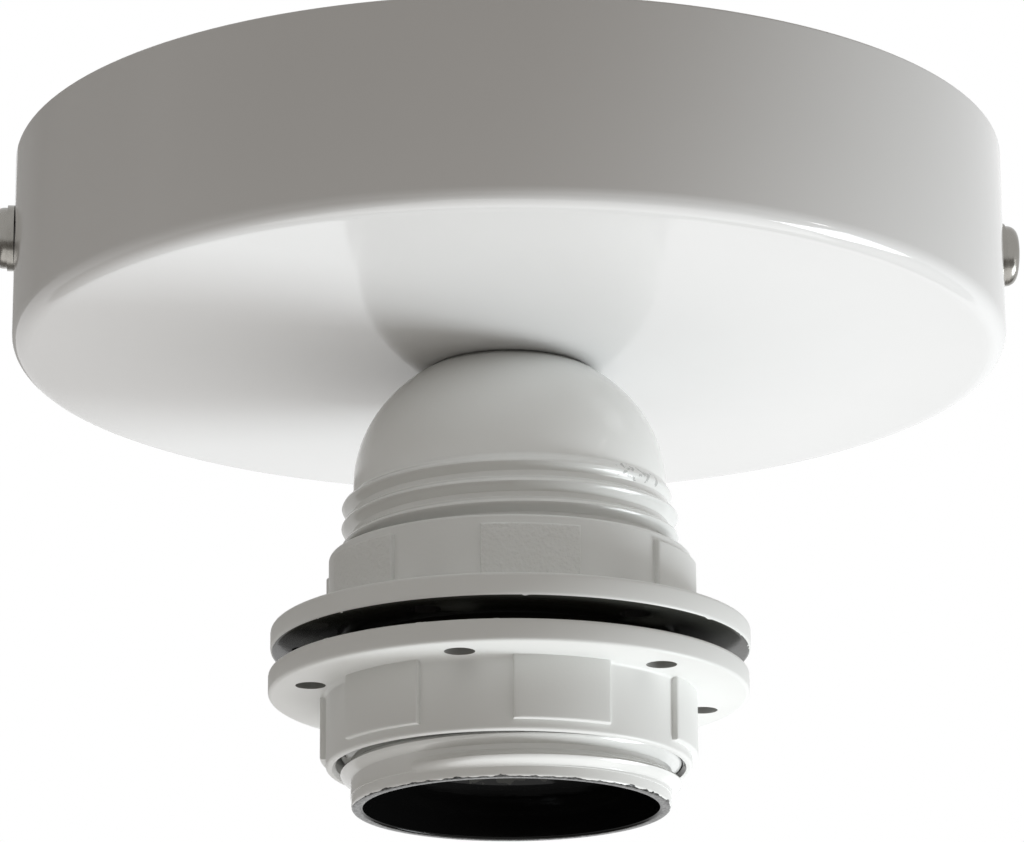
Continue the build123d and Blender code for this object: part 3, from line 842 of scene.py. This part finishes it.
@dataclass
class HolderSkirt:
    """The threaded barrel with the lamp socket inside."""

    finishes: Finishes
    seam: float = -42.4
    mouth: float = -79.7
    wall_radius: float = 19.0
    root_radius: float = 18.85
    crest_radius: float = 20.2
    pitch: float = 2.5
    ridge_share: float = 0.49
    ridge_bed: float = 0.3
    thread_fades: Span = (0.08, 0.82)
    thread_start: float = -44.0
    thread_start_height: float = -77.68
    thread_turns: float = 14.6
    lip_radius: float = 18.9
    lip_length: float = 1.4
    lip_round: float = 0.35
    mouth_radius: float = 17.5
    mouth_round: float = 0.3
    seam_round: float = 0.2
    shroud: float = 6.0
    ledge: float = 2.0
    bore: float = 17.2
    socket_bore: float = 13.3
    socket_outer: float = 15.2
    lead_in: float = 0.8
    socket_thread_top: float = -61.5
    chamber_radius: float = 14.0
    socket_top: float = -47.5
    window_near: float = 11.4
    window_far: float = 16.2
    window_width: float = 7.0
    window_height: float = 13.5
    lamp_pitch: float = 3.629
    lamp_crest: float = 12.35
    lamp_ridge_share: float = 0.4
    lamp_thread_start: float = 60.0
    lamp_thread_rise: float = 1.5
    lamp_thread_drop: float = 1.1
    lamp_steps: int = 72
    steps: int = 128

    def ridge_outline(self, root: float, crest: float, half_width: float, steps: int = 10) -> Outline:
        """The wave-shaped section of a thread ridge, with its foot sunk into the wall.

        Args:
            root: Radius where the wave starts.
            crest: Radius of its crest, which may be inside the wall.
            half_width: Half of its width at the wall.
            steps: Number of edges in the wave.

        Returns:
            (radius, height) points.
        """
        wave = [(root + (crest - root) * (1 - math.cos(FULL_TURN * step / steps)) / 2,
                 half_width * (2 * step / steps - 1)) for step in range(steps + 1)]
        foot = root - math.copysign(self.ridge_bed, crest - root)
        return [*wave, (foot, half_width), (foot, -half_width)]

    def build_barrel(self) -> bpy.types.Object:
        """Builds the barrel, its outer thread and its socket, with the side contact's window, as one piece."""
        ledge_height = self.mouth + self.shroud
        outline = [(self.wall_radius, self.mouth + self.lip_length), (self.lip_radius, self.mouth + self.lip_length),
                   (self.lip_radius, self.mouth), (self.mouth_radius, self.mouth),
                   (self.mouth_radius, ledge_height), (self.socket_bore + self.lead_in, ledge_height),
                   (self.socket_bore, ledge_height + self.lead_in), (self.socket_bore, self.socket_thread_top),
                   (self.chamber_radius, self.socket_thread_top), (self.chamber_radius, self.socket_top),
                   (self.socket_outer, self.socket_top), (self.socket_outer, ledge_height + self.ledge),
                   (self.bore, ledge_height + self.ledge), (self.bore, self.seam), (self.wall_radius, self.seam)]
        rounds = {2: self.lip_round, 3: self.mouth_round, 14: self.seam_round}
        solid = piece_from(turned(outline, rounds, self.steps), "skirt_blank", [self.finishes.skirt_paint])
        half_width = self.window_width / 2
        cut_away(solid, block(Vector((-self.window_far, -half_width, self.socket_top - self.window_height)),
                              Vector((-self.window_near, half_width, self.socket_top + 1.0))))
        bm = taken_back(solid)
        section = self.ridge_outline(self.root_radius, self.crest_radius, self.pitch * self.ridge_share)
        thread = Helix(self.pitch, self.thread_turns, around(self.thread_start), self.thread_start_height,
                       self.root_radius, *self.thread_fades)
        add_mesh(bm, thread.sweep(section, self.steps))
        return settle(piece_from(bm, "holder_skirt_barrel", [self.finishes.skirt_paint], outward=False),
                      Body.HOLDER, Slot.HOLDER_PAINT, "holder_skirt")

    def build_lamp_thread(self) -> bpy.types.Object:
        """Builds the rounded thread inside the lamp socket."""
        section = self.ridge_outline(self.socket_bore, self.lamp_crest, self.lamp_pitch * self.lamp_ridge_share)
        low = self.mouth + self.shroud + self.lamp_thread_rise
        turns = (self.socket_thread_top - self.lamp_thread_drop - low) / self.lamp_pitch
        thread = Helix(self.lamp_pitch, turns, around(self.lamp_thread_start), low, self.socket_bore)
        ridge = piece_from(thread.sweep(section, self.lamp_steps), "lamp_socket_thread", [self.finishes.bakelite])
        return settle(ridge, Body.HOLDER, Slot.BAKELITE)


@dataclass
class ShadeRing:
    """A flanged ring nut with six grip panels and six holes, its clamping face down at height 0."""

    finishes: Finishes
    flange_radius: float = 28.6
    flange: float = 2.8
    hub_radius: float = 21.7
    hub: float = 8.7
    bore: float = 20.55
    panel_height: float = 0.7
    panel_count: int = 6
    panel_span: float = 30.6
    panel_bed: float = 0.4
    panel_foot: float = 0.3
    panel_round: float = 0.28
    panel_steps: int = 14
    setback: float = 1.2
    hole_radius: float = 1.8
    hole_circle: float = 24.3
    edge_round: float = 0.5
    lead_in: float = 0.4
    steps: int = 144

    def panel(self, start: float) -> BMesh:
        """Builds one raised grip panel.

        Args:
            start: Its first angle from +X, in degrees.

        Returns:
            The new mesh.
        """
        bm = bmesh.new()
        low, high = self.flange - self.panel_foot, self.flange + self.hub - self.setback
        outer, inner = self.hub_radius + self.panel_height, self.hub_radius - self.panel_bed
        verts = closed_wire(bm, [(inner, low), (outer, low), (outer, high), (inner, high)])
        face = bmesh.ops.contextual_create(bm, geom=verts)["faces"]
        bmesh.ops.rotate(bm, verts=bm.verts, cent=(0, 0, 0), matrix=Matrix.Rotation(math.radians(start), 3, "Z"))
        geom = list(bm.verts) + list(bm.edges) + face
        bmesh.ops.spin(bm, geom=geom, cent=(0, 0, 0), axis=(0, 0, 1), angle=math.radians(self.panel_span),
                       steps=self.panel_steps, use_merge=False, use_duplicate=False)
        bmesh.ops.remove_doubles(bm, verts=bm.verts, dist=MERGE_DISTANCE)
        bmesh.ops.recalc_face_normals(bm, faces=bm.faces)
        edges = [edge for edge in bm.edges if len(edge.link_faces) == 2 and edge.calc_face_angle() > 1.0
                 and min(math.hypot(v.co.x, v.co.y) for v in edge.verts) > outer - 0.05]
        bmesh.ops.bevel(bm, geom=edges, offset=self.panel_round, offset_type="OFFSET", segments=3, profile=0.5,
                        affect="EDGES", material=-1)
        return bm

    def build(self, name: str, first_panel: float, place: Matrix, paint: bpy.types.Material,
              hole_paint: bpy.types.Material, grained: bpy.types.Material | None = None) -> bpy.types.Object:
        """Builds the ring.

        Args:
            name: The piece's name.
            first_panel: Angle of the first panel from +X before it is placed, in degrees.
            place: Its place and turn, in millimetres.
            paint: Its paint.
            hole_paint: The colour of the walls of its holes: black bakelite on the upper ring, a grey that is painted
                shade of the holes on the lower ring.
            grained: Paint of the two panels that have a coarse grain.

        Returns:
            The new piece.
        """
        top = self.flange + self.hub
        outline = [(self.bore, 0.0), (self.flange_radius, 0.0), (self.flange_radius, self.flange),
                   (self.hub_radius, self.flange), (self.hub_radius, top), (self.bore + self.lead_in, top),
                   (self.bore, top - self.lead_in)]
        rounds = {1: self.edge_round, 2: self.edge_round, 3: self.edge_round, 4: self.lead_in}
        ring = piece_from(turned(outline, rounds, self.steps), name, [paint])
        middle = first_panel + self.panel_span / 2 + 180 / self.panel_count
        spots = []
        drills = bmesh.new()
        for step in range(self.panel_count):
            turn = math.radians(middle + step * 360 / self.panel_count)
            spots.append(Vector((self.hole_circle * math.cos(turn), self.hole_circle * math.sin(turn), 0.0)))
            add_mesh(drills, peg(self.hole_radius, self.flange * 2,
                                 Matrix.Translation(spots[-1] + Vector((0, 0, self.flange / 2)))))
        cut_away(ring, drills)
        bm = taken_back(ring)
        for face in bm.faces:
            middle_point = face.calc_center_median()
            nearest = min((middle_point.xy - spot.xy).length for spot in spots)
            if nearest < self.hole_radius + 0.05 and abs(face.normal.z) < 0.2:
                face.material_index = 1
        for step in range(self.panel_count):
            before = len(bm.faces)
            add_mesh(bm, self.panel(first_panel + step * 360 / self.panel_count))
            if grained is not None and step in (0, self.panel_count - 1):
                bm.faces.ensure_lookup_table()
                for face in bm.faces[before:]:
                    face.material_index = 2
        bmesh.ops.transform(bm, matrix=place, verts=bm.verts)
        materials = [paint, hole_paint]
        if grained is not None:
            materials.append(grained)
        return piece_from(bm, name, materials, outward=False)


@dataclass
class RingPair:
    """The two shade rings on the barrel thread."""

    finishes: Finishes
    upper_face: float = -60.8
    gap: float = 2.55
    upper_panel: float = -13.2
    lower_panel: float = -2.8
    slack: float = 0.24
    ring: ShadeRing = field(init=False)

    def __post_init__(self) -> None:
        """Makes the shared ring shape."""
        self.ring = ShadeRing(self.finishes)

    def build(self) -> list[bpy.types.Object]:
        """Builds both rings."""
        upper_place = Matrix.Translation((0, 0, self.upper_face))
        upper = self.ring.build("upper_shade_ring", self.upper_panel - 90, upper_place,
                                self.finishes.upper_ring_paint, self.finishes.bakelite,
                                self.finishes.upper_panel_grain)
        lower_place = Matrix.Translation((-self.slack, 0, self.upper_face - self.gap)) @ Matrix.Rotation(
            math.pi, 4, "X")
        first = 180 - self.lower_panel - self.ring.panel_span - 90
        lower = self.ring.build("lower_shade_ring", first, lower_place, self.finishes.lower_ring_paint,
                                self.finishes.hole_shade)
        return [settle(upper, Body.UPPER_RING, Slot.RING_PAINT, "upper_ring"),
                settle(lower, Body.LOWER_RING, Slot.RING_PAINT, "lower_ring")]


@dataclass
class CarriedNodes:
    """The CAD nodes that keep their own shape and get their finish here."""

    finishes: Finishes
    nodes: dict[str, bpy.types.Object]

    def dress(self) -> None:
        """Gives each node its material."""
        finish = self.finishes
        wanted = {
            "mounting_bracket": finish.zinc, "side_screws": finish.nickel, "side_screw_washers": finish.nickel,
            "earth_screw": finish.zinc, "earth_tag": finish.tin, "threaded_nipple": finish.zinc,
            "lock_washer": finish.zinc, "nipple_nut": finish.zinc, "terminal_block_body": finish.polyamide,
            "terminal_block_sleeves": finish.brass, "terminal_block_screws": finish.zinc, "dome_bush": finish.brass,
            "contact_carrier": finish.bakelite, "terminal_posts": finish.brass, "post_screws": finish.zinc,
            "contact_rivets": finish.brass, "centre_contact": finish.brass, "side_contact": finish.brass,
        }
        for name, material in wanted.items():
            mesh = self.nodes[name].data
            mesh.materials.clear()
            mesh.materials.append(material)
            LOG.info("%s dressed in %s", name, material.name)


# Studio


@dataclass(frozen=True)
class Lamp:
    """A square soft lamp."""

    name: str
    place: tuple[float, float, float]
    size: float
    power: float
    colour: Colour = (1.0, 1.0, 1.0)


LAMP_AIM = (0.0, 0.0, -0.03)
LAMPS = (
    Lamp("right_lamp", (0.852, 0.045, -0.73), 0.45, 8.1, (0.92, 0.97, 1.0)),
    Lamp("broad_low_lamp", (0.12, 0.03, -1.0), 1.1, 5.3),
    Lamp("glint_lamp", (0.97, -0.36, -0.41), 0.07, 0.2),
)


@dataclass
class Studio:
    """A plain floor far below, soft lamps, a white surround and the camera."""

    camera_place: Vector = field(default_factory=lambda: Vector((-0.0422, -0.5747, -0.2001)))
    camera_aim: Vector = field(default_factory=lambda: Vector((0.0, 0.0, -0.03187)))
    lens: float = 174.84
    sensor: float = 36.0
    roll: float = -0.005
    shift: float = 0.0025
    surround: float = 0.265
    warmth: Colour = (1.0, 0.935, 0.86)
    floor_height: float = -1.6
    floor_reach: float = 3.0
    card_place: Vector = field(default_factory=lambda: Vector((-0.709, 0.554, 0.40)))
    card_half_size: tuple[float, float] = (0.8, 0.36)
    card_fade: Span = (-1.15, -0.62)

    def camera(self) -> None:
        """Places the camera at the photograph's viewing angle."""
        data = bpy.data.cameras.new("camera")
        data.lens = self.lens
        data.sensor_width = self.sensor
        data.shift_x = self.shift
        data.clip_start = 0.01
        data.clip_end = 50.0
        ahead = (self.camera_aim - self.camera_place).normalized()
        right = ahead.cross(Vector((0, 0, 1))).normalized()
        above = right.cross(ahead)
        tilted = right * math.cos(self.roll) + above * math.sin(self.roll)
        above = tilted.cross(ahead)
        turn = Matrix((tilted, above, -ahead)).transposed().to_4x4()
        camera = bpy.data.objects.new("camera", data)
        camera.matrix_world = Matrix.Translation(self.camera_place) @ turn
        bpy.context.scene.collection.objects.link(camera)
        bpy.context.scene.camera = camera

    def lamps(self) -> None:
        """Adds the square soft lamps, all of which face the holder."""
        for lamp in LAMPS:
            data = bpy.data.lights.new(lamp.name, "AREA")
            data.size = lamp.size
            data.energy = lamp.power
            data.color = lamp.colour
            made = bpy.data.objects.new(lamp.name, data)
            made.location = lamp.place
            made.rotation_mode = "QUATERNION"
            made.rotation_quaternion = (Vector(LAMP_AIM) - Vector(lamp.place)).to_track_quat("-Z", "Y")
            bpy.context.scene.collection.objects.link(made)

    def surroundings(self) -> None:
        """Makes the world white to the eye and dim as a lamp, and lays the floor."""
        world = bpy.data.worlds.new("surround")
        world.use_nodes = True
        bpy.context.scene.world = world
        tree = world.node_tree
        tree.nodes.clear()
        output = tree.nodes.new("ShaderNodeOutputWorld")
        mix = tree.nodes.new("ShaderNodeMixShader")
        dim = tree.nodes.new("ShaderNodeBackground")
        bright = tree.nodes.new("ShaderNodeBackground")
        for shader, colour, strength in ((dim, self.warmth, self.surround), (bright, (1.0, 1.0, 1.0), 1.0)):
            shader.inputs["Color"].default_value = (*colour, 1.0)
            shader.inputs["Strength"].default_value = strength
        path = tree.nodes.new("ShaderNodeLightPath")
        seen = path.outputs["Is Camera Ray"]
        for ray in ("Is Glossy Ray", "Is Transmission Ray"):
            either = tree.nodes.new("ShaderNodeMath")
            either.operation = "MAXIMUM"
            tree.links.new(seen, either.inputs[0])
            tree.links.new(path.outputs[ray], either.inputs[1])
            seen = either.outputs[0]
        tree.links.new(seen, mix.inputs["Fac"])
        tree.links.new(dim.outputs[0], mix.inputs[1])
        tree.links.new(bright.outputs[0], mix.inputs[2])
        tree.links.new(mix.outputs[0], output.inputs["Surface"])

    def sheet(self, name: str, place: Matrix, light: Colour, shade: Colour, scale: float) -> NodeBoard:
        """Adds a flat matt sheet, 2 m square before it is placed.

        Args:
            name: Its name.
            place: Its place, turn and size.
            light: Its lighter colour.
            shade: Its darker colour.
            scale: Cells of the pattern between them per metre.

        Returns:
            The board of its material.
        """
        bm = bmesh.new()
        bmesh.ops.create_grid(bm, x_segments=1, y_segments=1, size=1.0, matrix=place)
        mesh = bpy.data.meshes.new(name)
        bm.to_mesh(mesh)
        bm.free()
        sheet = bpy.data.objects.new(name, mesh)
        bpy.context.scene.collection.objects.link(sheet)
        board = NodeBoard("pale_" + name)
        board.colour(board.blend(board.noise(scale), light, shade))
        board.shader.inputs["Roughness"].default_value = 0.9
        mesh.materials.append(board.material)
        return board

    def floor(self) -> None:
        """Lays a pale floor far below the holder, not seen itself."""
        place = Matrix.Translation((0, 0, self.floor_height)) @ Matrix.Scale(self.floor_reach, 4)
        self.sheet("floor", place, (0.86, 0.86, 0.86), (0.82, 0.82, 0.82), 3.0).hide_from_camera()

    def side_card(self) -> None:
        """Stands a pale card behind on the left, not seen itself, so that the left edges don't glare."""
        away = Vector((-self.card_place.x, -self.card_place.y, 0.0))
        facing = away.to_track_quat("Z", "Y").to_matrix().to_4x4()
        place = Matrix.Translation(self.card_place) @ facing @ Matrix.Diagonal((*self.card_half_size, 1.0, 1.0))
        board = self.sheet("side_card", place, (0.76, 0.76, 0.76), (0.72, 0.72, 0.72), 5.0)
        board.hide_from_camera(board.spread(board.axes()[0], *self.card_fade, 0.0, 1.0))

    def build(self) -> None:
        """Sets up the whole studio."""
        bpy.context.scene.view_settings.view_transform = "Standard"
        self.camera()
        self.lamps()
        self.surroundings()
        self.floor()
        self.side_card()


def main() -> None:
    """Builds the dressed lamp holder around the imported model."""
    logging.basicConfig(level=logging.INFO, format="%(name)s: %(message)s")
    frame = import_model()
    Studio().build()
    finishes = Finishes()
    CeilingRose(finishes).build()
    HolderDome(finishes).build()
    skirt = HolderSkirt(finishes)
    skirt.build_barrel()
    skirt.build_lamp_thread()
    RingPair(finishes).build()
    CarriedNodes(finishes, frame["nodes"]).dress()
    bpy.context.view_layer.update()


if __name__ == "__main__":
    main()
